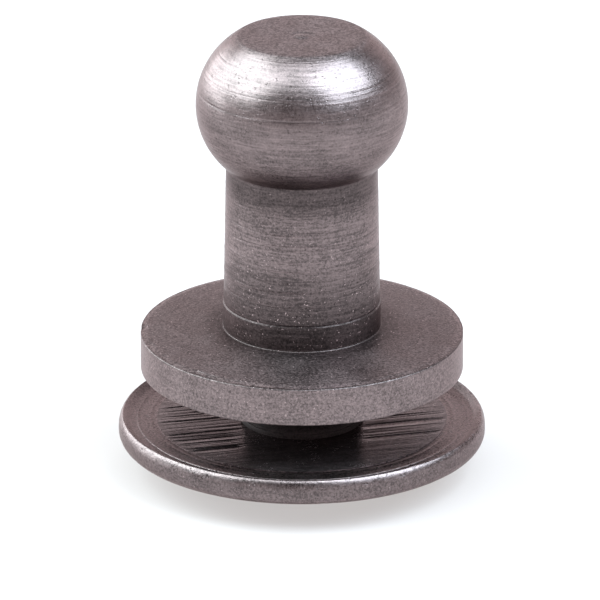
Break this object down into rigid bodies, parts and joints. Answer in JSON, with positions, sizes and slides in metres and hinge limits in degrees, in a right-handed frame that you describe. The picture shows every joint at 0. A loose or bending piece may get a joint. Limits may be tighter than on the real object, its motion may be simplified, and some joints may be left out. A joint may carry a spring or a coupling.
{
  "type": "screw-back ball stud",
  "caption": "Ball-headed stud with a flange, screwed onto a domed slotted disc screw; clamps a leather strap and lets a keyhole strap button over the ball.",
  "frame": {"origin": "on the turning axis, at the height of the screwdriver slot's lips, on which the stud stands", "axes": "+Z along the turning axis, from the domed disc up to the flat on top of the ball; the screwdriver slot runs along X"},
  "size_m": [0.0122, 0.0122, 0.0152],
  "materials": {
    "screw_metal": "antique silver plate, turned and brushed",
    "stud_metal": "antique silver plate, turned and brushed",
    "core_metal": "bare, hidden inside the ball"
  },
  "bodies": {
    "screw": {"slotted_screw": "screw_metal"},
    "core": {"ball_core": "core_metal"},
    "stud": {"ball_stud": "stud_metal"}
  },
  "joints": [
    {"name": "stud_travel", "type": "slide", "parent": "screw", "child": "core", "axis": [0, 0, 1], "range_m": [-0.0014, 0.0056]},
    {"name": "stud_turn", "type": "hinge", "parent": "core", "child": "stud", "pos_m": [0, 0, 0.01282], "axis": [0, 0, 1], "range_deg": [-720, 2880]}
  ],
  "couplings": [
    {"joint": "stud_turn", "follows": "stud_travel", "rad_per_m": 8976}
  ]
}
